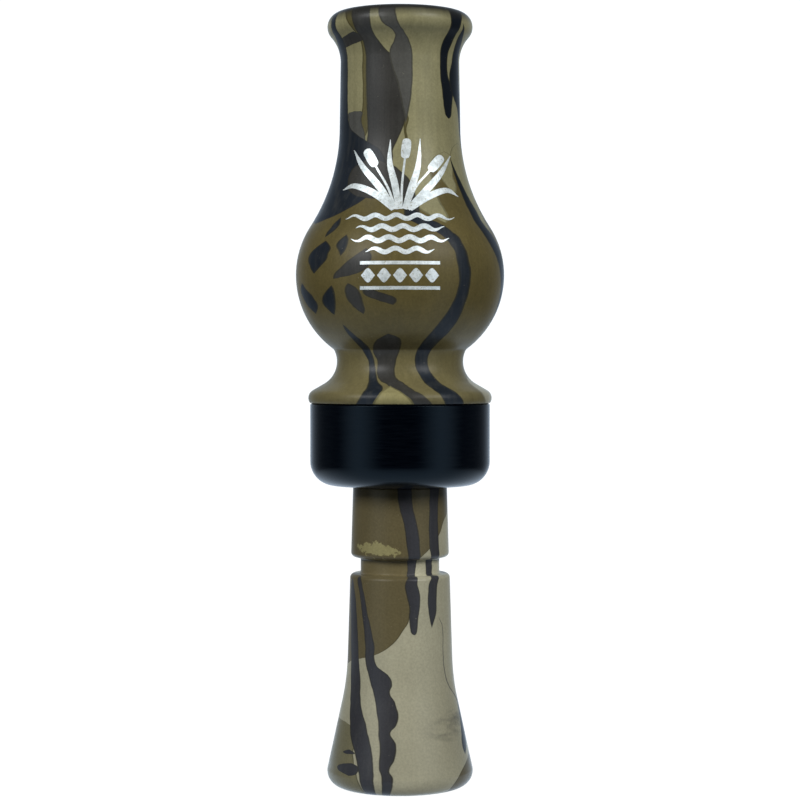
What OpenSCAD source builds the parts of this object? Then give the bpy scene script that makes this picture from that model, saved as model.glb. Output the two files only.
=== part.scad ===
// Double-reed waterfowl call: a turned barrel with a black band, standing on the bell of its insert.
// The axis of the call is Z, its foot is the bell at z = 0, and the reed side faces -Y.
// Outlines are [radius, height] pairs, turned about Z.

/* [Whole call] */
// Height from the bell to the crown of the mouthpiece
total_h = 141.3; // [138:0.1:146]

/* [Barrel] */
// Radius of the neck under the lip
neck_r = 10.83; // [10.4:0.01:11.2]
// Radius of the neck where it leaves the bulb
neck_foot_r = 11.02; // [10.9:0.01:11.2]
// Widest radius of the bulb
bulb_r = 19.04; // [18:0.01:20]
// Height of the widest place on the bulb
bulb_z = 93.5; // [93:0.1:94]
// Widest radius of the foot over the band
foot_r = 16.78; // [16.6:0.01:17]
// Radius of the narrowest place between bulb and foot
waist_r = 11.55; // [11.3:0.01:12]
// Radius of the main bore, which takes the insert
bore_r = 7.95; // [7.94:0.01:8]
// Radius of the throat behind the lips
throat_r = 7.2; // [6.5:0.1:7.4]
// Length of the round throat
throat_l = 10.5; // [8:0.5:12]

/* [Lip] */
// Radius of the rounding outside the crown
lip_round = 2.6; // [2.2:0.05:2.7]
// Radius at the outside of the flat crown
crown_r = 10.65; // [10.6:0.05:11]
// Radius of the hollow sweep under the lip
lip_sweep = 7; // [6:0.1:8]
// Radius of the rounding into the throat
lip_inside = 3; // [2:0.1:3.4]

/* [Band] */
// Outer radius of the band
band_r = 16.44; // [16:0.01:16.6]
// Height of the band's underside, where the insert's shoulder seats
band_z = 55.1; // [54.5:0.1:55.5]
// Height of the seam between band and foot
seam_z = 70.2; // [70:0.1:70.4]
// Rounding of the band's lower edge
band_round = 4.4; // [3:0.1:4.6]
// Thickness of the band's floor
band_floor = 3.8; // [3:0.1:5]
// Radius of the barrel's spigot inside the band
spigot_r = 12.6; // [11:0.1:13.5]

/* [Insert] */
// Widest radius of the bell
bell_r = 13.35; // [12.8:0.05:13.6]
// Rounding of the bell's outer edge
bell_round = 2.8; // [2:0.1:3]
// Radius at the top of the lower body
body_r = 9.14; // [9:0.01:9.4]
// Radius at the bottom of the upper body
collar_r = 8.95; // [8.8:0.01:9.1]
// Radius at the shoulder under the band
shoulder_r = 8.6; // [8.5:0.01:8.8]
// Radius at the bottom of the lanyard groove
groove_r = 7.2; // [6.8:0.1:7.6]
// Height of the lanyard groove's lower side
groove_z = 39; // [38:0.1:40]
// Width of the lanyard groove
groove_w = 3; // [2.5:0.1:3.5]
// Radius of the exhaust bore
exhaust_r = 4.4; // [4:0.1:4.6]
// Radius of the tenon inside the barrel
tenon_r = 7.75; // [7.6:0.01:7.8]
// Length of the tenon
tenon_l = 16; // [15.5:0.1:16.5]

/* [O-rings] */
// Thickness of an O-ring
ring_d = 1.74; // [1.7:0.01:1.76]
// Radius of the circle through an O-ring's middle
ring_mid_r = 7.03; // [7.02:0.01:7.04]
// Distance from one O-ring to the other
ring_pitch = 5.5; // [4.5:0.1:6]

/* [Tone board] */
// Radius of the keg that carries the wedge pocket
keg_r = 7.6; // [7.4:0.05:7.7]
// Length of the keg
keg_l = 10.5; // [10:0.1:11]
// Radius of the tongue past the keg
board_r = 7.4; // [7.2:0.05:7.4]
// Height of the tongue's tip
tip_z = 124; // [120:0.5:125]
// Distance of the reed bed behind the axis
bed_y = 0.6; // [0.4:0.05:0.8]
// How far the tongue falls away from the reeds at its tip
tip_drop = 1.7; // [1.2:0.1:2.2]
// Radius of the sound channel
channel_r = 3; // [2.6:0.1:3.1]

/* [Reeds and wedge] */
// Width of both reeds
reed_w = 12.7; // [12:0.1:12.8]
// Thickness of the long lower reed
lower_reed_t = 0.36; // [0.25:0.01:0.4]
// Thickness of the short upper reed
upper_reed_t = 0.25; // [0.2:0.01:0.3]
// How far the upper reed stops short of the lower one
reed_step = 3.5; // [2:0.5:6]
// Thickness of the wedge at the pocket's mouth
wedge_t = 2.75; // [2.4:0.05:2.8]

/* [Hidden] */
$fn = 128;

olive = [0.42, 0.38, 0.24];
khaki = [0.60, 0.58, 0.46];
black = [0.06, 0.07, 0.08];
smoke = [0.25, 0.24, 0.22];
mylar = [0.85, 0.85, 0.80];
cork = [0.72, 0.54, 0.36];

gap = 0.02;          // between faces that rest on each other
seat_gap = 0.05;     // between the insert's shoulder and the band
edge = 0.35;         // small turned edge breaks

// Insert
bell_flat_r = bell_r - bell_round;
bell_cone_z = 16;
bell_cone_r = 10.52;
bell_end_z = 24;
bell_end_r = 9.58;
bell_crown = 0.8;
bell_mouth_r = bell_flat_r - bell_crown - 0.4;
bell_mouth_z = 12;
corner = 0.85;
shoulder_z = band_z - seat_gap;
tenon_top = shoulder_z + tenon_l;
socket_r = 5.1;
socket_z = 60;
ring_z = [shoulder_z + 6.4, shoulder_z + 6.4 + ring_pitch];
ring_slot_r = ring_mid_r - ring_d / 2 - 0.04;
ring_slot_w = 2.3;

// Barrel
barrel_z = band_z + band_floor;
lip_z = total_h - lip_round;
sweep_r = neck_r + lip_sweep;
sweep_z = lip_z - sqrt(pow(lip_sweep + lip_round, 2) - pow(sweep_r - crown_r, 2));
sweep_angle = atan2(lip_z - sweep_z, crown_r - sweep_r);
bulb_low_round = 16.7;
bulb_high_round = 16.2;
bulb_turn = 33;
bulb_high_r = bulb_r - bulb_high_round;
bulb_low_r = bulb_r - bulb_low_round;
flank_round = (bulb_high_r + bulb_high_round * cos(bulb_turn) - neck_foot_r) / (1 - cos(bulb_turn));
flank_r = neck_foot_r + flank_round;
flank_z = bulb_z + (bulb_high_round + flank_round) * sin(bulb_turn);
waist_round = 4.7;
waist_z = 77.75;
waist_c_r = waist_r + waist_round;
join_round = 1.2;    // blend where the bulb meets the waist
foot_round = 1.6;
foot_slope = 30;     // of the flare from the waist down to the foot
flare_r = waist_c_r - waist_round * sin(foot_slope);
flare_z = waist_z - waist_round * cos(foot_slope);
foot_c_z = flare_z - (foot_r - foot_round * (1 - sin(foot_slope)) - flare_r) * tan(foot_slope)
    - foot_round * cos(foot_slope);
foot_turn = asin((foot_c_z - seam_z) / foot_round);
throat_top = total_h - lip_inside;
throat_z = throat_top - throat_l;
bore_top = throat_z - 0.8;

// Tone board
keg_z = tenon_top;
keg_top = keg_z + keg_l;
spigot_gap = 0.02;
pocket_z = keg_z + 1;
pocket_half = reed_w / 2 + 0.1;
pocket_rise = 0.45;  // how much the wedge pocket opens towards its mouth
channel_y = bed_y + 0.2;
channel_top = tip_z - 5;
drop_z = keg_top + 4;
drop_round = pow(tip_z - drop_z, 2) / (2 * tip_drop);

// Reeds and wedge
reed_z = pocket_z + 0.4;
lower_reed_top = tip_z - 0.8;
upper_reed_top = lower_reed_top - reed_step;
lower_reed_y = bed_y - gap - lower_reed_t;
upper_reed_y = lower_reed_y - gap - upper_reed_t;
wedge_y = upper_reed_y - gap;
wedge_z = pocket_z + 0.3;
wedge_top = keg_top + 0.8;
reed_corner = 2.4;
dimple_r = 1.5;
dimple_z = upper_reed_top - 12;

// The pocket's sloping front wall, which the wedge bears on.
function pocket_front(z) =
    wedge_y - wedge_t - gap + pocket_rise * (keg_top - z) / (keg_top - pocket_z);

// Points of an arc round c from angle a0 to a1.
function arc(c, r, a0, a1, n = 10) =
    [for (i = [0:n]) let (a = a0 + (a1 - a0) * i / n) [c[0] + r * cos(a), c[1] + r * sin(a)]];

// Where a circle of radius r touches both the bulb's lower arc and the waist's arc, outside both.
function join_centre() =
    let (a = [bulb_low_r, bulb_z], ra = bulb_low_round + join_round,
         b = [waist_c_r, waist_z], rb = waist_round - join_round,
         d = norm(b - a), along = (d * d + ra * ra - rb * rb) / (2 * d),
         across = sqrt(ra * ra - along * along), u = (b - a) / d)
    a + u * along + [u[1], -u[0]] * across;

module turned(points) rotate_extrude() polygon(points);

function bell_outline() = concat(
    [[bell_mouth_r, 0.4], [bell_mouth_r + 0.4, 0]],
    arc([bell_flat_r, bell_round], bell_round, -90, 8),
    [[bell_cone_r, bell_cone_z]],
    bell_sweep(),
    [[body_r, groove_z - corner]]);

// The hollow curve from the bell's cone to the straighter body, as a quadratic curve.
function bell_sweep(n = 8) =
    let (a = [bell_cone_r, bell_cone_z], b = [9.72, 19.7], c = [bell_end_r, bell_end_z])
    [for (i = [1:n]) let (t = i / n) a * pow(1 - t, 2) + b * 2 * t * (1 - t) + c * t * t];

function groove_outline() = concat(
    arc([body_r - corner, groove_z - corner], corner, 8, 90, 5),
    arc([groove_r + 0.5, groove_z + 0.5], 0.5, 270, 180, 4),
    arc([groove_r + 0.5, groove_z + groove_w - 0.5], 0.5, 180, 90, 4),
    arc([collar_r - corner, groove_z + groove_w + corner], corner, -90, 0, 6));

function tenon_outline() = concat(
    [[shoulder_r, shoulder_z - edge], [shoulder_r - edge, shoulder_z], [tenon_r, shoulder_z]],
    [for (z = ring_z, p = [[tenon_r, -1], [ring_slot_r, -1], [ring_slot_r, 1], [tenon_r, 1]])
        [p[0], z + p[1] * ring_slot_w / 2]],
    [[tenon_r, tenon_top - edge], [tenon_r - edge, tenon_top]]);

// The camo insert: bell, lanyard groove, shoulder and tenon in one piece.
module insert() {
    color(khaki)
        turned(concat(
            bell_outline(), groove_outline(), tenon_outline(),
            [[socket_r, tenon_top], [socket_r, socket_z], [exhaust_r, socket_z],
             [exhaust_r, bell_mouth_z]],
            bell_flare()));
}

// The bell's inside opens from the bore to the mouth along a quadratic curve.
function bell_flare(n = 8) =
    let (a = [exhaust_r, bell_mouth_z], b = [exhaust_r + 0.5, 5.5], c = [bell_mouth_r, 0.4])
    [for (i = [1:n - 1]) let (t = i / n) a * pow(1 - t, 2) + b * 2 * t * (1 - t) + c * t * t];

module o_ring(z) {
    color(black)
        translate([0, 0, z])
            rotate_extrude()
                translate([ring_mid_r, 0])
                    circle(d = ring_d, $fn = 48);
}

module band() {
    color(black)
        turned(concat(
            [[bore_r + 0.1, band_z + edge], [bore_r + 0.1 + edge, band_z]],
            arc([band_r - band_round, band_z + band_round], band_round, -90, 0, 12),
            [[band_r, seam_z - edge], [band_r - edge, seam_z],
             [spigot_r, seam_z], [spigot_r, barrel_z], [bore_r + 0.1, barrel_z]]));
}

function waist_outline() =
    let (c = join_centre(), b = [waist_c_r, waist_z], a = [bulb_low_r, bulb_z],
         to_waist = atan2((c - b)[1], (c - b)[0]), to_bulb = atan2((a - c)[1], (a - c)[0]))
    concat(
        arc([foot_r - foot_round, foot_c_z], foot_round, -foot_turn, 90 - foot_slope, 9),
        arc(b, waist_round, 270 - foot_slope, to_waist < 0 ? to_waist + 360 : to_waist, 14),
        arc(c, join_round, to_waist, to_bulb, 5),
        arc(a, bulb_low_round, to_bulb - 180, 0, 18));

function neck_outline() = concat(
    arc([bulb_high_r, bulb_z], bulb_high_round, 3, bulb_turn, 9),
    arc([flank_r, flank_z], flank_round, 180 + bulb_turn - 2, 180, 14),
    arc([sweep_r, sweep_z], lip_sweep, 180, sweep_angle, 8),
    arc([crown_r, lip_z], lip_round, sweep_angle - 180 + 4, 90, 16));

// The camo barrel: spigot, foot, waist, bulb, neck and lip in one piece.
module barrel() {
    color(olive)
        turned(concat(
            [[bore_r + edge, barrel_z], [spigot_r - edge, barrel_z], [spigot_r, barrel_z + edge],
             [spigot_r, seam_z]],
            waist_outline(), neck_outline(),
            arc([throat_r + lip_inside, throat_top], lip_inside, 90, 180, 10),
            [[throat_r, throat_z], [bore_r, bore_top], [bore_r, barrel_z + edge]]));
}

// Side outline of the tongue, [y, z]: straight under the wedge, then falling away from the reeds.
function tongue_side() = concat(
    [[board_r, keg_z + 1], [bed_y, keg_z + 1]],
    [for (i = [0:20]) let (z = drop_z + (tip_z - drop_z) * i / 20)
        [bed_y + pow(z - drop_z, 2) / (2 * drop_round), z]],
    [[board_r, tip_z]]);

module along_x(points, half) {
    rotate([90, 0, 90])
        translate([0, 0, -half])
            linear_extrude(2 * half) polygon(points);
}

// A strip in the XZ plane with two rounded corners at its top, from y to y + t.
module strip(half, z0, z1, y, t, r) {
    translate([0, y + t, 0])
        rotate([90, 0, 0])
            linear_extrude(t)
                union() {
                    translate([-half, z0]) square([2 * half, z1 - r - z0]);
                    translate([-half + r, z0]) square([2 * (half - r), z1 - z0]);
                    for (x = [-1, 1]) translate([x * (half - r), z1 - r]) circle(r, $fn = 64);
                }
}

module wedge_pocket() {
    along_x([[bed_y, pocket_z], [bed_y, keg_top + 1],
             [pocket_front(keg_top + 1), keg_top + 1], [pocket_front(pocket_z), pocket_z]],
            pocket_half);
}

module sound_channel() {
    translate([0, channel_y, socket_z - 1]) cylinder(r = channel_r, h = channel_top - socket_z + 1);
    translate([0, channel_y, channel_top]) sphere(channel_r);
    translate([-channel_r, bed_y - 1, pocket_z])
        cube([2 * channel_r, channel_y - bed_y + 1, channel_top - pocket_z]);
}

// The tone board: a spigot in the insert, a keg with the wedge pocket, and the tongue under the reeds.
module tone_board() {
    color(smoke)
        difference() {
            union() {
                translate([0, 0, socket_z + 0.1])
                    cylinder(r = socket_r - spigot_gap, h = keg_z - socket_z + 0.9);
                translate([0, 0, keg_z]) cylinder(r = keg_r, h = keg_l);
                intersection() {
                    cylinder(r = board_r, h = tip_z);
                    along_x(tongue_side(), board_r + 1);
                    strip(board_r, keg_z, tip_z, 0, 2 * board_r, 4);
                }
            }
            wedge_pocket();
            sound_channel();
        }
}

module lower_reed() {
    color(mylar)
        strip(reed_w / 2, reed_z, lower_reed_top, lower_reed_y, lower_reed_t, reed_corner);
}

module upper_reed() {
    color(mylar)
        difference() {
            strip(reed_w / 2, reed_z, upper_reed_top, upper_reed_y, upper_reed_t, reed_corner);
            translate([0, upper_reed_y - dimple_r + 0.12, dimple_z]) sphere(dimple_r);
        }
}

module wedge_block() {
    color(cork)
        along_x([[wedge_y, wedge_z], [wedge_y, wedge_top],
                 [pocket_front(wedge_top) + gap, wedge_top],
                 [pocket_front(wedge_z) + gap, wedge_z]],
                pocket_half - 0.1);
}

insert();
o_ring(ring_z[0]);  // lower_o_ring
o_ring(ring_z[1]);  // upper_o_ring
tone_board();
lower_reed();
upper_reed();
wedge_block();
band();
barrel();
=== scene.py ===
import math

import bmesh
import bpy
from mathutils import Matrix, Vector, noise


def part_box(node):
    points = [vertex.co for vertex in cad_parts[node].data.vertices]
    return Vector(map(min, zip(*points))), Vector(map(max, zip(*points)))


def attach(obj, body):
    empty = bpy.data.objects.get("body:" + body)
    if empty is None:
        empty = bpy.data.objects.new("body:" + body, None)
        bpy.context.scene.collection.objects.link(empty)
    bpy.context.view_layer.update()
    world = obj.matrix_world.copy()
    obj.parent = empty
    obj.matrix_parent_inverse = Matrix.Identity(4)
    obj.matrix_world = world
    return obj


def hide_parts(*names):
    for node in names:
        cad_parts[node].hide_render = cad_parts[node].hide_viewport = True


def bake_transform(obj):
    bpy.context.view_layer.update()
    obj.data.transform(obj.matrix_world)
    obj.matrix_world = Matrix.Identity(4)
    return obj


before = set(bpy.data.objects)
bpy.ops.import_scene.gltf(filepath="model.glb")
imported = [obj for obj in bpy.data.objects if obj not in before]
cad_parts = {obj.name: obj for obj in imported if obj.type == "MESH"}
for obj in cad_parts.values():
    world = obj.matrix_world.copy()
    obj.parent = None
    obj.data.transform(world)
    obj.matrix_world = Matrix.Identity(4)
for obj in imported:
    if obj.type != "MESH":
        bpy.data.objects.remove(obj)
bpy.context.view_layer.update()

MM = 0.001
RAYS = (0, 2, 3)          # outputs of Light Path: camera, diffuse and glossy rays
BACKFACING = 6            # output of Geometry

CAMERA_DISTANCE = 0.403   # metres, as are the other lengths down to the floor's
CAMERA_HEIGHT = 0.0778
CAMERA_AIM = 0.07068
CAMERA_LENS = 99.0        # mm

BOX_AIM = (0, 0, 0.07)    # the two soft boxes, one each side in front
BOX_SIZE = (0.7, 0.46)
BOX_SIDE, BOX_FRONT, BOX_UP = 0.76, 0.76, 0.69
BOX_LEFT_WATTS = 11.9
BOX_RIGHT_WATTS = 11.1

FLOOR_HALF = 3.0
FLOOR_NEAR = 0.05         # from here out to FLOOR_FAR the floor fades from what the pieces mirror
FLOOR_FAR = 0.22
FLOOR_GLOW = 1.6          # of the floor, in what the pieces mirror
FOOT_GLOW = 0.35          # what the floor close to the bell throws back on it
FOOT_NEAR, FOOT_FAR = 0.015, 0.03

SURROUND_SEEN = 1.12      # to the camera, which makes it plain white
SURROUND_TINT = (0.94, 0.97, 1.0, 1)
AMBIENT_FRONT = 0.012     # how brightly the surround lights the pieces
AMBIENT_BEHIND = 0.5
GLOSS_FRONT = 0.02        # what the pieces mirror away from the strips
GLOSS_BEHIND = 0.10
STRIP_TURN = 54.0         # degrees from the front to each soft strip the pieces mirror
STRIP_HALF = 34.0
STRIP_GLOW = 1.5
LIMB_TINT = (0.82, 1.0, 1.22, 1)
LIMB_GLOW = 0.9           # what shows in the pieces' outermost edges
LIMB_FALL = 5.0           # how tightly that glow is gathered straight behind

TURN_STEPS = 144          # quads round a turned piece
CORNER_TURN = 20.0        # degrees: an outline turning more than this has an edge there
CORNER_ROUND = 0.10       # mm
SMOOTH_TURN = 4.0         # degrees: the most an outline turns between two points,
TIGHT_TURN = 12.0         # and round a small edge
SMALL_GAP = 0.4           # mm between points, up to which an edge is small
LONGEST_QUAD = 3.0        # mm
ARC_TURN = 18             # degrees for each step of a rounded corner
BARREL_SKIN = 8.0, 70.15  # mm: less radius, or less height, is bare plastic
INSERT_SKIN = 7.0, 55.04  # mm: less radius, or more height, is bare plastic

GLOSS_IOR = 1.22          # of print and band: tuned to the photo's faint gloss, real plastic has 1.5
PRINT_EDGE = 1.1          # how sharply the print's tones meet, per degree
PRINT_LINE = 0.55         # strength of the thin dark line along each streak's edge
PRINT_BIAS = 0.5          # degrees taken off each streak's half-width
GROOVE_MIDDLE = 40.5      # mm: the lanyard groove, where the print is drawn lighter, partly for its paler tone and partly as painted light against the groove's shade
GROOVE_TONE_AND_LIGHT = 1.3
BELL_PAINTED_SHADE = 0.82          # painted shade: how dark the print is drawn at the foot of the bell


def linear(red, green, blue):
    """A screen colour, 0 to 255, as the shader's linear value."""
    def one(v):
        v /= 255
        return v / 12.92 if v <= 0.04045 else ((v + 0.055) / 1.055) ** 2.4
    return (one(red), one(green), one(blue), 1.0)


KHAKI = linear(130, 126, 94)
PALE_KHAKI = linear(154, 151, 129)
OLIVE = linear(86, 77, 45)
# Partly painted highlight: the lighter olive drawn towards the waist is partly the print's tone and
# partly the waist's highlight.
OLIVE_LOW_AND_HIGHLIGHT = linear(99, 92, 62)
BROWN = linear(87, 79, 55)
GREY = linear(74, 74, 70)
UMBER = linear(49, 48, 45)
SLATE = linear(25, 30, 36)
INK = linear(12, 16, 21)
CHARCOAL = linear(49, 49, 52)
LICHEN = linear(130, 124, 86)
STRAW = linear(84, 78, 48)
SEAM = linear(40, 38, 22)
FOIL = linear(217, 224, 224)
FOIL_DULL = linear(178, 186, 186)
STONE = linear(108, 104, 80)
BARE = linear(36, 35, 32)


# ---------------------------------------------------------------- camera, light and stage

def put_in_scene(name, data):
    thing = bpy.data.objects.new(name, data)
    bpy.context.scene.collection.objects.link(thing)
    return thing


def make_camera():
    data = bpy.data.cameras.new("camera")
    data.lens = CAMERA_LENS
    data.clip_start = 0.01
    data.clip_end = 20
    camera = put_in_scene("camera", data)
    camera.location = (0, -CAMERA_DISTANCE, CAMERA_HEIGHT)
    aim = Vector((0, 0, CAMERA_AIM)) - camera.location
    camera.rotation_euler = aim.to_track_quat("-Z", "Y").to_euler()
    bpy.context.scene.camera = camera


def soft_box(name, place, watts):
    data = bpy.data.lights.new(name, "AREA")
    data.shape = "RECTANGLE"
    data.size, data.size_y = BOX_SIZE
    data.energy = watts
    lamp = put_in_scene(name, data)
    lamp.location = place
    lamp.rotation_euler = (Vector(BOX_AIM) - Vector(place)).to_track_quat("-Z", "Y").to_euler()
    lamp.visible_camera = False


def make_lights():
    soft_box("box_left", (-BOX_SIDE, -BOX_FRONT, BOX_UP), BOX_LEFT_WATTS)
    soft_box("box_right", (BOX_SIDE, -BOX_FRONT, BOX_UP), BOX_RIGHT_WATTS)


def make_world():
    """White to the camera, dim to the pieces, and with soft bright strips for them to mirror."""
    world = bpy.data.worlds.new("surround")
    world.use_nodes = True
    bpy.context.scene.world = world
    s = Nodes(world.node_tree)
    x, y, z = (s.add("SeparateXYZ", s.add("TexCoord"), out=i) for i in range(3))
    ambient = s.range(y, 0.0, 0.9, AMBIENT_FRONT, AMBIENT_BEHIND)
    round_about = s.math("ARCTAN2", s.math("ABSOLUTE", x), s.math("MULTIPLY", y, -1.0))
    off = s.math("ABSOLUTE", s.math("SUBTRACT", round_about, math.radians(STRIP_TURN)))
    strip = s.add("MapRange", off, 0.0, math.radians(STRIP_HALF), STRIP_GLOW, 0.0,
                  interpolation_type="SMOOTHSTEP")
    glow = s.math("MULTIPLY", s.math("POWER", s.math("MAXIMUM", y, 0.0), LIMB_FALL), LIMB_GLOW)
    plain = s.range(y, -0.3, 0.2, GLOSS_FRONT, GLOSS_BEHIND)
    mirrored = s.math("ADD", s.math("ADD", strip, glow), plain)
    seen, lighting, mirroring = (s.add("LightPath", out=i) for i in RAYS)
    strength = s.mix_value(seen, s.mix_value(lighting, mirrored, ambient), SURROUND_SEEN)
    background = s.tree.nodes["Background"].inputs
    s.put(background["Strength"], strength)
    s.put(background["Color"], s.mix(mirroring, SURROUND_TINT, LIMB_TINT))


def make_floor():
    """White paper. It is clear from below, and lights the call only close round the bell."""
    mesh = bpy.data.meshes.new("floor")
    half = FLOOR_HALF
    mesh.from_pydata([(-half, -half, 0), (half, -half, 0), (half, half, 0), (-half, half, 0)],
                     [], [(0, 1, 2, 3)])
    floor = put_in_scene("floor", mesh)
    floor.location.z = -0.02 * MM
    paper = Shader("floor_paper", (0.04, 0.04, 0.04, 1), 0.9)
    _, lighting, mirroring = (paper.add("LightPath", out=i) for i in RAYS)
    paper.set("Emission Color", paper.mix(mirroring, (1, 1, 1, 1), LIMB_TINT))
    out = paper.add("VectorMath", paper.place(), operation="LENGTH", out=1)
    foot = paper.range(out, FOOT_NEAR, FOOT_FAR, FOOT_GLOW, 0.0)
    shown = paper.mix_value(mirroring, 1.0, FLOOR_GLOW)
    paper.set("Emission Strength", paper.mix_value(lighting, shown, foot))
    far = paper.range(out, FLOOR_NEAR, FLOOR_FAR, 0.0, 1.0)
    from_below = paper.add("NewGeometry", out=BACKFACING)
    clear = paper.math("MAXIMUM", from_below, paper.math("MULTIPLY", far, mirroring))
    both = paper.add("MixShader", clear, paper.bsdf.outputs[0], paper.add("BsdfTransparent"))
    paper.tree.links.new(both, paper.tree.nodes["Material Output"].inputs[0])
    mesh.materials.append(paper.material)


# ---------------------------------------------------------------- shader helpers

class Nodes:
    """Short ways to add nodes to a tree."""

    def __init__(self, tree):
        self.tree = tree

    def add(self, kind, *values, out=0, **settings):
        node = self.tree.nodes.new("ShaderNode" + kind)
        for key, value in settings.items():
            setattr(node, key, value)
        for socket, value in zip(node.inputs, values):
            self.put(socket, value)
        return node.outputs[out]

    def put(self, socket, value):
        if isinstance(value, bpy.types.NodeSocket):
            self.tree.links.new(value, socket)
        elif value is not None:
            socket.default_value = value

    def math(self, operation, *values, clamp=False):
        return self.add("Math", *values, operation=operation, use_clamp=clamp)

    def mix(self, factor, one, two, blend="MIX"):
        node = self.tree.nodes.new("ShaderNodeMix")
        node.data_type = "RGBA"
        node.blend_type = blend
        for index, value in ((0, factor), (6, one), (7, two)):
            self.put(node.inputs[index], value)
        return node.outputs[2]

    def mix_value(self, factor, one, two):
        return self.math("ADD", self.math("MULTIPLY", factor, two),
                         self.math("MULTIPLY", self.math("SUBTRACT", 1.0, factor), one))

    def place(self):
        return self.add("TexCoord", out=3)

    def lengthwise(self, scale):
        """A place whose height is scaled, so that a pattern there is drawn out or flattened."""
        return self.add("Mapping", self.place(), None, None, (1.0, 1.0, scale),
                        vector_type="POINT")

    def noise(self, scale, detail=2.0, rough=0.5, place=None):
        return self.add("TexNoise", place or self.place(), None, scale, detail, rough)

    def range(self, value, low, high, to_low, to_high):
        return self.add("MapRange", value, low, high, to_low, to_high)

    def scaled(self, color, value):
        return self.mix(1.0, color, self.add("CombineColor", value, value, value), "MULTIPLY")

    def curve(self, value, points):
        """A smooth curve through (0 to 1, 0 to 1) points."""
        node = self.tree.nodes.new("ShaderNodeFloatCurve")
        line = node.mapping.curves[0]
        line.points[0].location = points[0]
        line.points[1].location = points[-1]
        for point in points[1:-1]:
            line.points.new(*point)
        node.mapping.update()
        self.put(node.inputs[1], value)
        return node.outputs[0]


class Shader(Nodes):
    """A new material with its Principled shader."""

    def __init__(self, name, color, roughness, **sockets):
        self.material = bpy.data.materials.new(name)
        self.material.use_nodes = True
        super().__init__(self.material.node_tree)
        self.bsdf = self.tree.nodes["Principled BSDF"]
        self.bsdf.inputs["Base Color"].default_value = color
        self.bsdf.inputs["Roughness"].default_value = roughness
        for socket, value in sockets.items():
            self.bsdf.inputs[socket.replace("_", " ")].default_value = value

    def set(self, name, value):
        self.put(self.bsdf.inputs[name], value)

    def bump(self, height, strength, distance):
        self.set("Normal", self.add("Bump", strength, distance, None, height))
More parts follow.
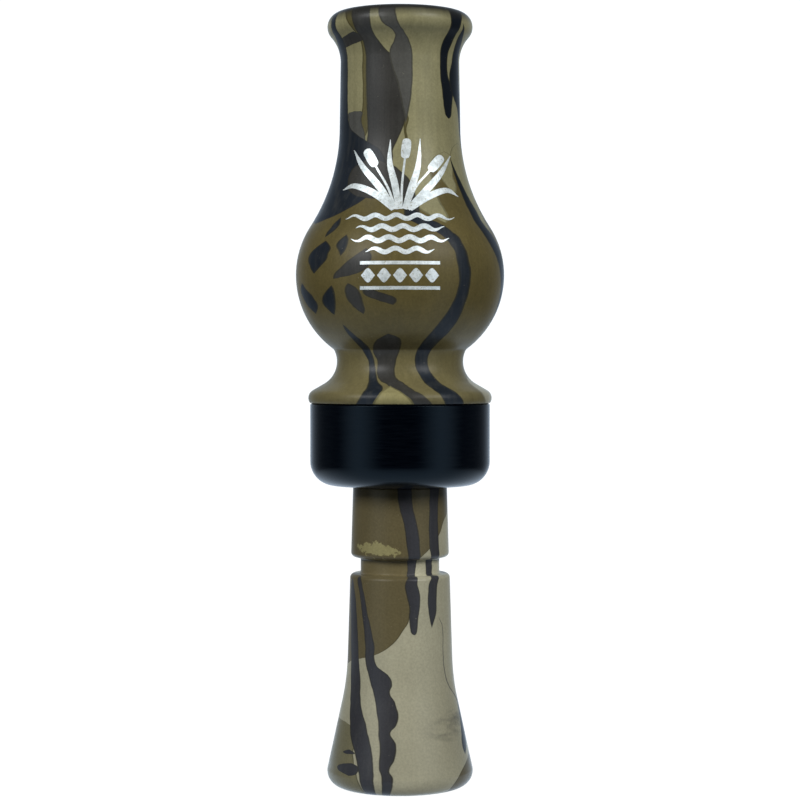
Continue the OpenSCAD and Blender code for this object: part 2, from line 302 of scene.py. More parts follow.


# ---------------------------------------------------------------- the print

# Streaks of the bark print. Each has its tone, then (height in mm, left edge, right edge in
# degrees from the front) down its length. A streak whose edges meet ends in a point. The points
# were picked on the photo, turned into height and angle, then rounded and edited.
BARREL_PRINT = [
    (KHAKI, [(142, -90, 90), (114.9, -90, 88), (113.9, -60, 60), (112.8, -22, 33), (111.6, -4, 27),
             (109.1, 2, 28), (106.2, 9, 30), (104.3, 15, 33), (103, 22, 33), (102.1, 29, 29)]),
    (KHAKI, [(115.4, 44, 44), (113.6, 28, 56), (112.4, 31, 53), (110.6, 34, 50), (109, 39, 51),
             (107.4, 46, 46)]),
    (KHAKI, [(117.4, 68, 68), (115, 51, 87), (112, 52, 86), (108, 58, 82), (104, 61, 77), (101, 66, 73),
             (99, 70, 70)]),
    (STRAW, [(142, -56, -43), (138.5, -46, -38), (135.1, -39, -34), (131.5, -39, -33),
             (124.4, -38, -32), (119, -40, -31), (117.4, -36, -36)]),
    (GREY, [(122.6, -48, -48), (122.5, -57, -39), (121, -57.5, -38.5), (118.2, -58, -34),
            (116.4, -54, -33), (114, -50, -40), (113, -45, -45)]),
    (STRAW, [(122, 5, 5), (121.3, 3, 8), (119.1, 3, 6.5), (117, 5, 8), (115.3, 7, 7)]),
    # Painted shadow: this umber patch darkens the print just under the flare at the top, on the left,
    # where the flare's shade falls.
    (UMBER, [(136.7, -42, -42), (136, -60, -36), (135.3, -72, -33), (134.6, -75, -48),
             (134, -72, -72)]),
    (UMBER, [(142, -46, -25), (138.3, -40, -23), (136.3, -39, -22), (135, -36, -19),
             (133.2, -35, -13), (132.4, -34.7, -8.5), (131.4, -34.5, -6), (127.8, -34, 0),
             (124.2, -33, 4), (122, -33, 6), (120.6, -32.5, 5), (118.8, -32, 2), (117, -32, -2),
             (115.3, -31, -6), (113.8, -30, -6), (112, -28, -8), (111, -18, -18)]),
    (GREY, [(142, -17, -2), (138.4, -16, -2), (137.4, -13, 0), (136.1, -5, 5), (134.8, -6, 9),
            (133.1, -10.5, 12), (131.3, -9.5, 12.5), (127.7, -3.5, 12.5), (124.1, 0.5, 10),
            (122, 3, 8), (119.6, 5, 5)]),
    (SLATE, [(142, -71, -60), (137.4, -72, -61), (134.1, -85, -61), (132.4, -90, -60),
             (126.9, -91, -59), (121.3, -91, -57), (119.8, -91, -54), (118.2, -91, -42),
             (116.6, -92, -26), (114.4, -92, -14), (112, -92, -12), (110, -92, -16),
             (108.5, -90, -19), (107.2, -90, -23), (105.7, -90, -31), (104.4, -90, -41),
             (103.5, -83, -50), (102.5, -70, -70)]),
    (UMBER, [(114.5, -24, -24), (113.5, -33, -17), (112.4, -44, -5), (111.3, -47, 2),
             (109.9, -47, 8), (108, -42, 11), (106.9, -28, 12), (106.1, -3, 13), (104.6, 2, 14),
             (103.5, 5, 13), (102.6, 10, 10)]),
    (SLATE, [(105.2, 6, 6), (104.6, 3, 11), (103.3, 3, 15), (102, 10, 25), (100.7, 20, 33),
             (98.6, 28, 38), (94.5, 32, 41), (90, 32, 41), (86.6, 28, 39), (83.4, 22, 36),
             (80.8, 16, 30), (77.4, 13, 26), (74.2, 18, 32), (71, 27, 42), (69, 31, 46)]),
    (INK, [(142, 42, 66), (138.8, 43, 57), (137, 44, 56), (135, 42, 56), (133, 41, 53),
           (129, 41, 53), (126.4, 43, 61), (124.6, 44, 60), (122.8, 46, 58.5),
           (121.9, 48, 57), (121.3, 52.5, 52.5)]),
    (INK, [(138.6, 58, 58), (136, 61, 72), (134, 61, 78), (132, 59, 79), (128.5, 54, 79),
           (125.8, 60, 81), (123, 71, 84), (120, 75, 86), (117, 80, 87), (115, 84, 84)]),
    (INK, [(114.6, 50, 50), (113.2, 50, 53), (111, 52, 58), (108.8, 53, 62), (105.2, 55, 67),
           (102.5, 56, 68), (99.4, 61, 76), (95, 69, 84), (90.5, 75, 90), (86, 80, 92),
           (82, 88, 88)]),
    (SLATE, [(103.3, -42, -42), (102.2, -46, -40), (101.3, -47.5, -41), (100.5, -49, -44),
             (99.7, -49, -49)]),
    (SLATE, [(99.2, -47, -47), (98, -55, -41), (96.9, -60, -42), (95.8, -61, -43),
             (94.7, -58, -47), (93.4, -53, -53)]),
    (SLATE, [(100.2, -32, -32), (99.2, -36.5, -30), (98.3, -38, -30), (97.2, -36, -31),
             (96.2, -34, -34)]),
    (UMBER, [(97.6, -19, -19), (96.4, -25, -15), (95.3, -30, -15), (94.2, -34, -17),
             (93.2, -38, -23), (92.2, -39, -39)]),
    (SLATE, [(91.9, -69, -69), (90.4, -73, -61), (89, -71, -56), (87.7, -67, -54),
             (86.2, -60, -60)]),
    (SLATE, [(91.2, -40, -40), (89.9, -46, -38), (88.9, -49, -38), (87.5, -49, -39),
             (85.9, -42, -42)]),
    (UMBER, [(91.6, -29, -29), (90.3, -32, -23), (89.2, -31, -21), (87.9, -29, -20),
             (86.8, -26, -20), (85.9, -22, -22)]),
    (UMBER, [(91, -20, -20), (90, -21, -12), (89, -18, -4), (88.3, -12, -2), (87.5, -4, -4)]),
    (SLATE, [(84.5, -39, -39), (83.1, -39, -34), (80.9, -36, -27), (79.6, -34, -25),
             (77.8, -30, -23), (75.1, -27, -19), (72.5, -24, -11), (70, -29, -17)]),
    (UMBER, [(82.7, -8, -8), (82, -14, -1), (81.3, -19, 1), (79.6, -24, 0), (77.8, -21, -3),
             (75.1, -19, -3), (73.8, -11, 4), (72.1, -3, 13), (69.4, 5, 23)]),
    (LICHEN, [(73.5, -7, -7), (72.5, -12, 0), (71.6, -14, 5), (70.3, -17, 9), (69, -18, 12)]),
    (PALE_KHAKI, [(75, 76, 76), (73.5, 65, 90), (70, 68, 92)]),
]

INSERT_PRINT = [
    (BROWN, [(57, -90, 90), (50.8, -90, 84), (48.9, -90, 66), (46.6, -90, 55), (43.8, -90, 36),
             (41.6, -90, 20), (38.5, -90, 14), (34, -90, 12), (31, -90, 10), (29.5, -90, 4),
             (27.8, -90, -3), (26.4, -90, -12), (25, -90, -27), (24, -90, -50), (22.8, -90, -76),
             (22, -90, -90)]),
    (STONE, [(12.6, -72, -72), (11.8, -88, -48), (7, -89, -42), (2, -80, -32), (0, -76, -30)]),
    (BROWN, [(6.4, 84, 84), (5, 67, 92), (2.6, 50, 90), (0, 44, 88)]),
    (CHARCOAL, [(57, -4, 15), (53.4, -3, 14.5), (51.7, -1, 16), (49.9, 2, 19), (47.6, 5, 22),
                (44.8, 7, 24), (42.2, 9.5, 25), (39.1, 9, 22), (37.9, 5.5, 21), (36.2, 6, 23),
                (33.9, 10, 23), (31.6, 10, 21), (29.6, 11, 20), (29, 12, 19), (28.6, 16, 16)]),
    (CHARCOAL, [(57, 40, 60), (51.5, 37, 53), (44.6, 36, 52.5), (41.6, 39, 54), (39, 39.5, 53),
                (37.9, 35, 49), (36, 33, 46.5), (33.7, 32, 46), (32.2, 33, 44.5), (30.8, 35, 41),
                (29.6, 37.5, 37.5)]),
    (CHARCOAL, [(38.6, -71, -71), (36, -76, -63), (29, -71, -54), (24.4, -69, -51),
                (20, -65, -46), (15.7, -59, -41), (12.3, -53, -32), (9.4, -47, -26),
                (7.3, -41, -23), (4.4, -35, -21), (0, -31, -20)]),
    (CHARCOAL, [(38.9, -55, -55), (38.4, -58, -51), (35.5, -53, -44), (31.6, -47, -37),
                (27, -42, -29), (23, -40, -25), (21.6, -37, -12), (19.8, -33, -8),
                (18.3, -29, -10), (16.6, -26, -4), (14.4, -23, -1), (12.7, -21, -3),
                (11.4, -20, -8), (9.4, -18, -3), (6.8, -18, -4), (5, -17, -8), (3.4, -15, -5),
                (0, -16, -9)]),
    (CHARCOAL, [(7.9, -48, -48), (7.6, -54, -42), (7.3, -56, -41), (7, -50, -50)]),
    (CHARCOAL, [(5.7, -42, -42), (5.4, -52, -36), (4.8, -60, -34), (4.2, -60, -35),
                (3.8, -54, -37), (3.4, -44, -44)]),
    (SLATE, [(17.4, 86, 86), (15, 79, 91), (12.6, 76, 91), (10.3, 71, 88), (8.3, 67, 83),
             (6.4, 70, 70)]),
]


# One thin crack and one soft stain on the insert, as (height, left edge, right edge).
CRACK = [(32, 46, 46), (30.9, 49.8, 51.8), (30, 53.4, 55.4), (28.6, 54.6, 56.8),
         (25.4, 53.6, 55.8), (21.8, 55, 57.4), (19, 60, 63), (16.9, 73, 77), (13.7, 88, 93),
         (13, 91, 91)]
STAIN = [(17.5, 72, 72), (14.5, 46, 84), (12.4, 20, 88), (11, 14, 80), (9.4, 40, 60),
         (8.6, 50, 50)]


def print_place(s):
    """Angle from the front in degrees and height in mm, a little uneven, and more so behind."""
    x, y, z = (s.add("SeparateXYZ", s.place(), out=i) for i in range(3))
    angle = s.math("MULTIPLY", s.math("ARCTAN2", x, s.math("MULTIPLY", y, -1.0)), math.degrees(1))
    height = s.math("MULTIPLY", z, 1000.0)
    fine = s.math("SUBTRACT", s.noise(300.0, 2.0, 0.5), 0.5)
    behind = s.range(s.math("ABSOLUTE", angle), 95.0, 150.0, 0.0, 1.0)
    loose = s.math("MULTIPLY", s.math("SUBTRACT", s.noise(45.0, 1.0), 0.5), behind)
    angle = s.math("ADD", angle, s.math("MULTIPLY", fine, 2.4))
    angle = s.math("ADD", angle, s.math("MULTIPLY", loose, 120.0))
    height = s.math("ADD", height, s.math("MULTIPLY", fine, 0.6))
    height = s.math("SUBTRACT", height, s.math("MULTIPLY", loose, 50.0))
    return angle, height


def streak(s, angle, height, points):
    """How far inside a streak of the print, in degrees. The print repeats each half turn.

    The curves hold 0 to 1, so the middle is kept as (angle + 180) / 360 and the half as /100.
    """
    points = sorted(points)
    low, high = points[0][0], points[-1][0]
    along = s.range(height, low, high, 0.0, 1.0)
    share = [(h - low) / (high - low) for h, _, _ in points]
    middle = s.curve(along, [(t, ((l + r) / 2 + 180) / 360)
                             for t, (_, l, r) in zip(share, points)])
    half = s.curve(along, [(t, (r - l) / 200) for t, (_, l, r) in zip(share, points)])
    middle = s.math("MULTIPLY_ADD", middle, 360.0, -180.0)
    off = s.math("ABSOLUTE", s.math("WRAP", s.math("SUBTRACT", angle, middle), 90.0, -90.0))
    return s.math("SUBTRACT", s.math("MULTIPLY_ADD", half, 100.0, -PRINT_BIAS), off)


def filled(s, depth):
    return s.math("MULTIPLY_ADD", depth, PRINT_EDGE, 0.5, clamp=True)


def print_layers(s, base, layers, angle, height):
    """Each streak over the ones before it, with a thin darker line along its edge."""
    color = base
    fibres = s.range(s.noise(750.0, 3.0, 0.6, s.lengthwise(0.06)), 0.48, 0.72, 0.0, 0.26)
    fibrous = {tone: s.mix(fibres, tone, GREY) for tone in (CHARCOAL, SLATE, UMBER)}
    for tone, points in layers:
        tone = fibrous.get(tone, tone)
        depth = streak(s, angle, height, points)
        color = s.mix(filled(s, depth), color, tone)
        line = s.math("ABSOLUTE", s.math("SUBTRACT", depth, 0.6))
        line = s.math("SUBTRACT", 1.0, line, clamp=True)
        color = s.mix(s.math("MULTIPLY", line, PRINT_LINE), color, SEAM)
    return color


def worn_print(s, color, uneven):
    """The print's own grain: dots of ink, soft cloudiness and pale rubbed specks."""
    cloud = s.range(s.noise(120.0, 4.0, 0.65), 0.3, 0.7, 1 - uneven, 1 + uneven)
    dots = s.range(s.noise(2600.0, 1.0), 0.25, 0.75, 0.91, 1.09)
    grain = s.range(s.noise(1300.0, 2.0, 0.6, s.lengthwise(0.05)), 0.3, 0.7,
                    1 - uneven / 2, 1 + uneven / 2)
    color = s.scaled(color, s.math("MULTIPLY", s.math("MULTIPLY", cloud, dots), grain))
    specks = s.range(s.noise(1500.0, 2.0, 0.7), 0.72, 0.76, 0.0, 0.2)
    return s.mix(specks, color, PALE_KHAKI)


def print_finish(s, color, uneven):
    s.set("Base Color", worn_print(s, color, uneven))
    s.set("Roughness", s.range(s.noise(160.0, 2.0), 0.3, 0.7, 0.30, 0.40))
    s.bump(s.noise(1400.0, 2.0), 0.06, 0.00004)
    return s.material


def barrel_print():
    s = Shader("barrel_print", OLIVE, 0.34, IOR=GLOSS_IOR)
    angle, height = print_place(s)
    # The base olive lightens towards the waist: partly the print's own tone, partly painted highlight.
    base = s.mix(s.range(height, 88.0, 79.0, 0.0, 1.0), OLIVE, OLIVE_LOW_AND_HIGHLIGHT)
    color = print_layers(s, base, BARREL_PRINT, angle, height)
    # Painted shade: the print fades to the dark bare-plastic colour towards the top of the lip, where
    # the upward-facing surface is in shade.
    lip = s.range(height, 138.8, 140.6, 0.0, 1.0)
    return print_finish(s, s.mix(lip, color, BARE), 0.14)


def with_lichen(s, color, angle, height):
    """A ragged pale patch above the groove, thickest 28 degrees left of the front."""
    ragged = s.math("SUBTRACT", s.noise(800.0, 3.0, 0.65), 0.5)
    middle = s.math("MULTIPLY_ADD", angle, -0.0155, 43.4)
    lichen = s.math("ABSOLUTE", s.math("SUBTRACT", height, middle))
    round_about = s.math("POWER", s.math("MULTIPLY", s.math("ADD", angle, 28.0), 1 / 34.0), 2.0)
    reach = s.math("MULTIPLY_ADD", round_about, -1.3, 1.25)
    lichen = s.math("SUBTRACT", s.math("MULTIPLY_ADD", ragged, 4.5, reach), lichen)
    lichen = s.math("MULTIPLY", lichen, 4.0, clamp=True)
    return s.mix(lichen, color, LICHEN)


def with_stain(s, color, angle, height):
    """A soft grey smear low on the bell, stronger towards the right."""
    patch = streak(s, angle, height, STAIN)
    smear = s.range(s.noise(170.0, 4.0, 0.65, s.lengthwise(3.0)), 0.44, 0.66, 0.0, 1.0)
    stain = s.math("MULTIPLY", s.range(patch, 0.0, 16.0, 0.0, 0.75), smear)
    stain = s.math("MULTIPLY", stain, s.range(angle, 15.0, 70.0, 0.35, 1.0))
    return s.mix(stain, color, GREY)


def insert_print():
    s = Shader("insert_print", PALE_KHAKI, 0.34, IOR=GLOSS_IOR)
    angle, height = print_place(s)
    color = print_layers(s, PALE_KHAKI, INSERT_PRINT, angle, height)
    color = with_lichen(s, color, angle, height)
    crack = filled(s, streak(s, angle, height, CRACK))
    color = s.mix(s.math("MULTIPLY", crack, 0.8), color, CHARCOAL)
    color = with_stain(s, color, angle, height)
    # Partly painted light: the print is drawn lighter in the lanyard groove, partly for its paler tone
    # there and partly to lift the groove's shade.
    off = s.math("ABSOLUTE", s.math("SUBTRACT", height, GROOVE_MIDDLE))
    color = s.scaled(color, s.range(off, 1.2, 1.6, GROOVE_TONE_AND_LIGHT, 1.0))
    # Painted shade: the print is drawn darker towards the foot of the bell.
    color = s.scaled(color, s.range(height, 6.0, 26.0, BELL_PAINTED_SHADE, 1.0))
    return print_finish(s, color, 0.05)


# ---------------------------------------------------------------- other materials

def bare_plastic(name="bare_plastic", color=BARE):
    s = Shader(name, color, 0.4, IOR=1.45)
    s.set("Base Color", s.scaled(color, s.range(s.noise(300.0, 3.0), 0.3, 0.7, 0.85, 1.15)))
    s.set("Roughness", s.range(s.noise(700.0, 2.0), 0.3, 0.7, 0.34, 0.48))
    s.bump(s.noise(2200.0, 2.0), 0.08, 0.00004)
    return s.material


def polished_black():
    black = linear(0, 1, 4)
    s = Shader("polished_black", black, 0.2, IOR=GLOSS_IOR, Specular_Tint=(0.6, 0.8, 0.92, 1))
    lines = s.noise(260.0, 3.0, 0.6, s.lengthwise(14.0))
    s.set("Base Color", s.mix(s.range(lines, 0.35, 0.7, 0.0, 1.0), black, linear(3, 5, 9)))
    s.set("Roughness", s.range(lines, 0.3, 0.7, 0.16, 0.24))
    s.bump(lines, 0.02, 0.00003)
    return s.material


def foil():
    s = Shader("silver_foil", FOIL, 0.38, Metallic=0.25, IOR=1.5)
    mottle = s.noise(900.0, 4.0, 0.7)
    color = s.mix(s.range(mottle, 0.38, 0.62, 0.0, 1.0), FOIL, FOIL_DULL)
    pits = s.range(s.noise(2800.0, 2.0, 0.7), 0.58, 0.68, 0.0, 0.6)
    s.set("Base Color", s.mix(pits, color, LICHEN))
    s.set("Roughness", s.range(mottle, 0.3, 0.7, 0.30, 0.48))
    s.bump(mottle, 0.1, 0.00004)
    return s.material


def rubber():
    s = Shader("ring_rubber", linear(30, 30, 31), 0.55, IOR=1.5)
    s.set("Base Color", s.mix(s.noise(500.0, 3.0), linear(24, 24, 25), linear(40, 40, 41)))
    s.set("Roughness", s.range(s.noise(900.0, 3.0), 0.3, 0.7, 0.45, 0.7))
    s.bump(s.noise(1800.0, 3.0), 0.15, 0.00004)
    return s.material


def frosted_film():
    s = Shader("reed_film", linear(214, 216, 205), 0.45, IOR=1.57, Transmission_Weight=0.35)
    s.set("Base Color", s.mix(s.noise(240.0, 3.0), linear(204, 207, 196), linear(224, 225, 214)))
    s.set("Roughness", s.range(s.noise(1200.0, 3.0), 0.3, 0.7, 0.38, 0.58))
    s.bump(s.noise(3000.0, 2.0), 0.12, 0.00002)
    return s.material


def cork():
    s = Shader("cork", linear(176, 132, 86), 0.8)
    grains = s.add("TexVoronoi", s.place(), None, 1100.0, out=1)
    tone = s.add("SeparateColor", grains)
    color = s.mix(tone, linear(158, 112, 68), linear(200, 158, 108))
    dark = s.range(s.noise(1600.0, 3.0, 0.7), 0.60, 0.68, 0.0, 0.8)
    s.set("Base Color", s.mix(dark, color, linear(92, 60, 36)))
    s.set("Roughness", s.range(tone, 0.0, 1.0, 0.72, 0.92))
    s.bump(s.noise(1600.0, 3.0, 0.7), 0.5, 0.0001)
    return s.material


# ---------------------------------------------------------------- turned pieces

def outline(node):
    """The node's outline as (radius, height) in mm, read off its mesh on the +X side."""
    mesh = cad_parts[node].data
    side = {v.index: (round(v.co.x / MM, 4), round(v.co.z / MM, 4))
            for v in mesh.vertices if abs(v.co.y) < 1e-6 and v.co.x > 0}
    beside = {}
    for one, two in (edge.vertices for edge in mesh.edges):
        if one in side and two in side and side[one] != side[two]:
            beside.setdefault(side[one], set()).add(side[two])
            beside.setdefault(side[two], set()).add(side[one])
    loop = [min(beside, key=lambda p: (p[1], p[0]))]
    loop.append(max(beside[loop[0]]))
    while len(loop) < len(beside):
        loop.append(next(p for p in beside[loop[-1]] if p != loop[-2]))
    return [Vector(p) for p in loop]


def turn(before, here, after):
    return abs((here - before).angle_signed(after - here, 0.0))


def eased(points):
    """The outline with each edge rounded by a small arc."""
    out = []
    for i, here in enumerate(points):
        before, after = points[i - 1], points[(i + 1) % len(points)]
        bend = turn(before, here, after)
        if bend < math.radians(CORNER_TURN):
            out.append(here)
            continue
        room = 0.3 * min((here - before).length, (after - here).length)
        cut = min(CORNER_ROUND * math.tan(bend / 2), room)
        start = here + (before - here).normalized() * cut
        end = here + (after - here).normalized() * cut
        steps = max(3, math.ceil(math.degrees(bend) / ARC_TURN))
        for k in range(steps + 1):
            t = k / steps
            out.append(start * (1 - t) ** 2 + here * 2 * t * (1 - t) + end * t * t)
    return out


def tangent(before, here, after):
    """The curve's direction at a point, or that of the straight it ends."""
    one, two = here - before, after - here
    if one.length > 3 * two.length:
        return one.normalized()
    if two.length > 3 * one.length:
        return two.normalized()
    return (one.normalized() * two.length + two.normalized() * one.length).normalized()


def smoothed(points):
    """More points along each stretch, on a curve through the outline's own points."""
    points = eased(points)
    count = len(points)
    way = [tangent(points[i - 1], points[i], points[(i + 1) % count]) for i in range(count)]
    out = []
    for i, here in enumerate(points):
        after = points[(i + 1) % count]
        gap = (after - here).length
        bend = way[i].angle(way[(i + 1) % count], 0.0)
        most = SMOOTH_TURN if gap > SMALL_GAP else TIGHT_TURN
        steps = max(1, math.ceil(math.degrees(bend) / most), math.ceil(gap / LONGEST_QUAD))
        for k in range(steps):
            t = k / steps
            out.append(here * (2 * t ** 3 - 3 * t ** 2 + 1) + after * (3 * t ** 2 - 2 * t ** 3)
                       + (way[i] * (t ** 3 - 2 * t ** 2 + t)
                          + way[(i + 1) % count] * (t ** 3 - t ** 2)) * gap)
    return out


def turned_piece(node, body, slot, materials, is_inside):
    """A smooth turned mesh with the CAD node's outline.

    Faces whose place on the outline is_inside accepts get the second material.
    """
    points = smoothed(outline(node))
    count = len(points)
    verts, faces, marks = [], [], []
    for i in range(TURN_STEPS):
        a = math.tau * i / TURN_STEPS
        verts += [(p.x * MM * math.cos(a), p.x * MM * math.sin(a), p.y * MM) for p in points]
    for i in range(TURN_STEPS):
        j = (i + 1) % TURN_STEPS
        for k in range(count):
            m = (k + 1) % count
            faces.append((i * count + k, j * count + k, j * count + m, i * count + m))
            marks.append(1 if is_inside((points[k] + points[m]) / 2) else 0)
    piece = add_mesh(node + "_turned", verts, faces, materials)
    piece.data.polygons.foreach_set("material_index", marks)
    finish_piece(piece, body, slot, node)
    return points


def add_mesh(name, verts, faces, materials):
    mesh = bpy.data.meshes.new(name)
    mesh.from_pydata(verts, [], faces)
    mesh.polygons.foreach_set("use_smooth", [True] * len(mesh.polygons))
    for material in materials:
        mesh.materials.append(material)
    return put_in_scene(name, mesh)


def finish_piece(piece, body, slot, *nodes):
    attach(piece, body)
    if nodes:
        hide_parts(*nodes)


# ---------------------------------------------------------------- the foil emblem

def smooth_line(points, steps=10):
    """Points along a smooth curve through a few hand-set ones. Each point may carry a width too."""
    points = [Vector(p) for p in points]
    ends = [points[0] * 2 - points[1]] + points + [points[-1] * 2 - points[-2]]
    out = []
    for i in range(1, len(ends) - 2):
        a, b, c, d = ends[i - 1:i + 3]
        for k in range(steps):
            t = k / steps
            out.append(0.5 * (2 * b + (c - a) * t + (2 * a - 5 * b + 4 * c - d) * t * t
                              + (3 * b - a - 3 * c + d) * t ** 3))
    return out + [points[-1]]


class Decal:
    """Foil shapes laid on the barrel. Places are (across, height) in mm, as seen from the front."""

    PROUD, SUNK = 0.035, 0.03                       # mm above and below the barrel's skin
    INNERMOST, LOWEST, HIGHEST = 10.5, 82, 128      # mm: where on the outline the skin is

    def __init__(self, skin):
        outer = sorted((p.y, p.x) for p in skin
                       if p.x > self.INNERMOST and self.LOWEST < p.y < self.HIGHEST)
        self.heights = [h for h, _ in outer]
        self.radii = [r for _, r in outer]
        self.verts, self.faces = [], []

    def radius(self, height):
        for (h0, r0), (h1, r1) in zip(zip(self.heights, self.radii),
                                      zip(self.heights[1:], self.radii[1:])):
            if h0 <= height <= h1:
                return r0 + (r1 - r0) * (height - h0) / max(h1 - h0, 1e-6)
        raise ValueError("the emblem leaves the barrel's bulb")

    def point(self, across, height, lift):
        r = self.radius(height)
        a = math.asin(across / r)
        r += lift
        return (r * MM * math.sin(a), -r * MM * math.cos(a), height * MM)

    def ribbon(self, points):
        """A closed strip along (across, height, half-width) points."""
        line = smooth_line(points)
        start = len(self.verts)
        cells = 4
        for i, p in enumerate(line):
            ahead = line[min(i + 1, len(line) - 1)] - line[max(i - 1, 0)]
            side = Vector((-ahead.y, ahead.x)).normalized()
            for lift in (self.PROUD, -self.SUNK):
                for k in range(cells + 1):
                    w = p.z * (2 * k / cells - 1)
                    self.verts.append(self.point(p.x + side.x * w, p.y + side.y * w, lift))
        row = 2 * (cells + 1)
        def at(i, k):
            return start + i * row + k
        last = len(line) - 1
        for i in range(last):
            for k in range(cells):
                self.faces.append((at(i, k), at(i, k + 1), at(i + 1, k + 1), at(i + 1, k)))
                low = k + cells + 1
                self.faces.append((at(i, low), at(i + 1, low), at(i + 1, low + 1), at(i, low + 1)))
            for k, low, flip in ((0, cells + 1, False), (cells, row - 1, True)):
                face = (at(i, k), at(i + 1, k), at(i + 1, low), at(i, low))
                self.faces.append(face[::-1] if flip else face)
        for i, flip in ((0, False), (last, True)):
            for k in range(cells):
                face = (at(i, k), at(i, k + cells + 1), at(i, k + cells + 2), at(i, k + 1))
                self.faces.append(face[::-1] if flip else face)


def make_emblem(skin):
    """Reeds standing in rippled water over a plain border: a design of its own, with no words."""
    decal = Decal(skin)
    stems = [((-0.7, 104.6), (-2.2, 108.6), (-4.4, 112.6)),
             ((0.2, 104.6), (0.4, 109.5), (0.9, 114.0)),
             ((1.2, 104.6), (2.8, 108.6), (5.4, 111.8))]
    for foot, middle, top in stems:
        decal.ribbon([(*foot, 0.22), (*middle, 0.20), (*top, 0.18)])
        way = (Vector(top) - Vector(middle)).normalized()
        head = [Vector(top) + way * step for step in (-0.2, 0.2, 1.6, 3.0, 3.4)]
        decal.ribbon([(p.x, p.y, w) for p, w in zip(head, (0.25, 0.72, 0.85, 0.72, 0.25))])
    leaves = [((-1.2, 104.6), (-4.4, 107.4), (-8.0, 109.0), (-10.2, 108.4)),
              ((-1.0, 104.6), (-3.6, 108.6), (-6.6, 112.4), (-8.2, 115.6)),
              ((-0.2, 104.6), (-0.9, 109.0), (-1.8, 113.0), (-1.7, 117.2)),
              ((0.8, 104.6), (2.0, 108.4), (3.2, 112.4), (3.6, 117.4)),
              ((1.4, 104.6), (4.4, 107.8), (7.2, 111.2), (9.0, 114.6)),
              ((1.8, 104.6), (4.8, 106.8), (8.2, 108.2), (10.4, 107.2))]
    for leaf in leaves:
        decal.ribbon([(*p, w) for p, w in zip(leaf, (0.45, 0.62, 0.48, 0.05))])
    for height, half, width in ((103.2, 9.6, 0.42), (101.2, 7.8, 0.46), (99.2, 8.6, 0.46),
                                (97.2, 6.0, 0.42)):
        count = 4 * round(half)
        wave = [(half * (2 * k / count - 1), k / count) for k in range(count + 1)]
        decal.ribbon([(x, height + 0.34 * math.sin(x * 1.7 + height),
                       width * min(1.0, 5 * t + 0.1, 5 * (1 - t) + 0.1)) for x, t in wave])
    for height, half, width in ((95.0, 7.0, 0.30), (90.6, 7.0, 0.30)):
        decal.ribbon([(-half, height, width), (0, height, width), (half, height, width)])
    for across in (-5.6, -2.8, 0, 2.8, 5.6):
        decal.ribbon([(across - 1.2, 92.8, 0.04), (across, 92.8, 1.25), (across + 1.2, 92.8, 0.04)])
    piece = add_mesh("foil_emblem", decal.verts, decal.faces, [foil()])
    piece.data.set_sharp_from_angle(angle=math.radians(CORNER_TURN))
    finish_piece(piece, "barrel", "khaki_camo_plastic")


# ---------------------------------------------------------------- reeds and wedge

def rounded_block(name, low, high, cell, material, round_by):
    """A closed box of even quads with softened edges, sized by two corners in metres."""
    bm = bmesh.new()
    bmesh.ops.create_cube(bm, size=1.0)
    low, high = Vector(low), Vector(high)
    size = high - low
    for v in bm.verts:
        v.co = Vector([low[i] + (v.co[i] + 0.5) * size[i] for i in range(3)])
    bmesh.ops.bevel(bm, geom=list(bm.edges), offset=round_by, segments=3, affect="EDGES")
    for axis in range(3):
        for k in range(1, math.ceil(size[axis] / cell)):
            place = Vector((0, 0, 0))
            place[axis] = low[axis] + k * size[axis] / math.ceil(size[axis] / cell)
            normal = Vector([1.0 if i == axis else 0.0 for i in range(3)])
            bmesh.ops.bisect_plane(bm, geom=bm.verts[:] + bm.edges[:] + bm.faces[:],
                                   plane_co=place, plane_no=normal, dist=1e-7)
    mesh = bpy.data.meshes.new(name)
    bm.to_mesh(mesh)
    bm.free()
    mesh.polygons.foreach_set("use_smooth", [True] * len(mesh.polygons))
    mesh.materials.append(material)
    return put_in_scene(name, mesh)


def make_wedge():
    """The cork, its front leaning as the CAD wedge's does, with small pits in its skin."""
    low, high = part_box("wedge_block")
    piece = rounded_block("cork_wedge", low, high, 0.45 * MM, cork(), 0.15 * MM)
    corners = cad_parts["wedge_block"].data.vertices
    back = high.y
    foot = min(v.co.y for v in corners if v.co.z < low.z + MM * 0.1)
    for v in piece.data.vertices:
        up = (v.co.z - low.z) / (high.z - low.z)
        front = foot + (low.y - foot) * up
        v.co.y = back + (v.co.y - back) * (back - front) / (back - low.y)
        inside = (Vector((0, (low.y + back) / 2, (low.z + high.z) / 2)) - v.co).normalized()
        pit = max(0.0, noise.noise(v.co * 900) - 0.25)
        v.co += inside * pit * 0.35 * MM
    finish_piece(piece, "insert", "cork", "wedge_block")


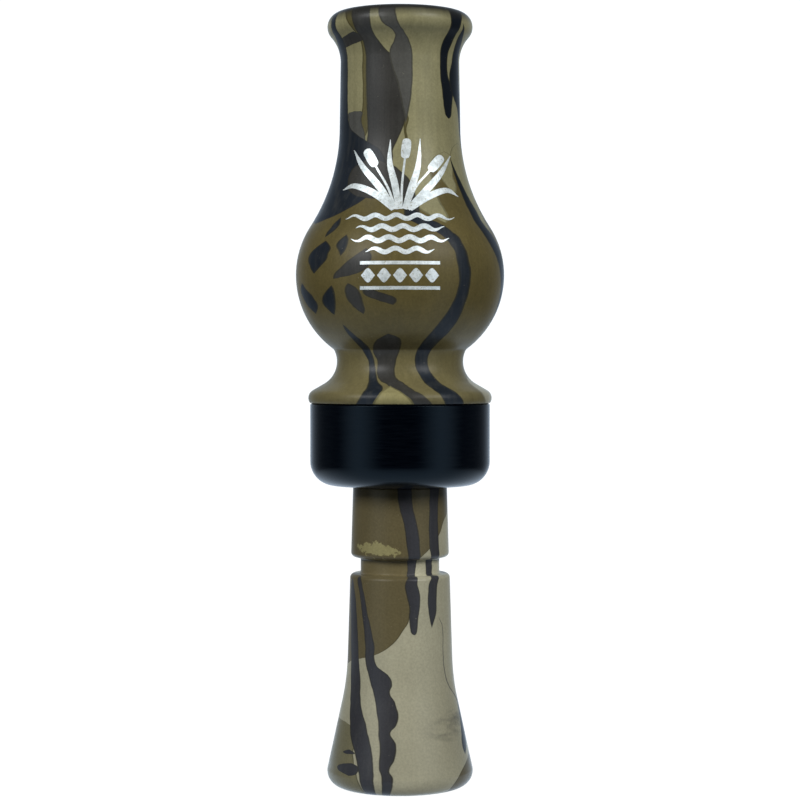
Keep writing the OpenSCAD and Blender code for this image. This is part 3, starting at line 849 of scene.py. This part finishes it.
def reed_plate(node, dimple):
    """A thin strip with two rounded corners, in close rows."""
    low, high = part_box(node)
    half, corner = high.x, 2.4 * MM
    rows, cells = 64, 16
    verts, faces = [], []
    for y in (low.y, high.y):
        for i in range(rows + 1):
            z = low.z + (high.z - low.z) * (1 - (1 - i / rows) ** 1.6)
            over = max(0.0, z - (high.z - corner))
            w = half - corner + math.sqrt(max(0.0, corner ** 2 - over ** 2))
            for k in range(cells + 1):
                x = w * (2 * k / cells - 1)
                lift = 0.0
                if dimple and y == low.y:
                    off = math.hypot(x, z - (high.z - 12 * MM)) / (0.8 * MM)
                    lift = 0.1 * MM * max(0.0, 1 - off * off)
                verts.append((x, y + lift, z))
    step = (rows + 1) * (cells + 1)
    def at(side, i, k):
        return side * step + i * (cells + 1) + k
    for i in range(rows):
        for k in range(cells):
            faces.append((at(0, i, k), at(0, i, k + 1), at(0, i + 1, k + 1), at(0, i + 1, k)))
            faces.append((at(1, i, k), at(1, i + 1, k), at(1, i + 1, k + 1), at(1, i, k + 1)))
        faces.append((at(0, i, 0), at(0, i + 1, 0), at(1, i + 1, 0), at(1, i, 0)))
        faces.append((at(0, i, cells), at(1, i, cells), at(1, i + 1, cells), at(0, i + 1, cells)))
    for k in range(cells):
        faces.append((at(0, 0, k), at(1, 0, k), at(1, 0, k + 1), at(0, 0, k + 1)))
        faces.append((at(0, rows, k), at(0, rows, k + 1), at(1, rows, k + 1), at(1, rows, k)))
    return verts, faces, low, high


def make_reed(node, material, dimple=False):
    verts, faces, low, high = reed_plate(node, dimple)
    piece = add_mesh(node + "_film", verts, faces, [material])
    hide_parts(node)
    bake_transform(piece)


# ---------------------------------------------------------------- carried-over CAD nodes

def paint_node(node, material):
    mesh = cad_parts[node].data
    mesh.materials.clear()
    mesh.materials.append(material)


def is_bare_barrel(p):
    radius, height = BARREL_SKIN
    return p.x < radius or p.y < height


def is_bare_insert(p):
    radius, height = INSERT_SKIN
    return p.x < radius or p.y > height


def main():
    bpy.context.scene.view_settings.view_transform = "Standard"
    make_camera()
    make_lights()
    make_world()
    make_floor()
    bare = bare_plastic()
    skin = turned_piece("barrel", "barrel", "olive_camo_plastic", [barrel_print(), bare],
                        is_bare_barrel)
    turned_piece("insert", "insert", "khaki_camo_plastic", [insert_print(), bare],
                 is_bare_insert)
    turned_piece("band", "barrel", "black_plastic", [polished_black()], lambda p: False)
    make_emblem(skin)
    film = frosted_film()
    make_reed("lower_reed", film)
    make_reed("upper_reed", film, dimple=True)
    make_wedge()
    ring = rubber()
    paint_node("lower_o_ring", ring)
    paint_node("upper_o_ring", ring)
    paint_node("tone_board", bare_plastic("board_plastic", linear(30, 30, 31)))


main()
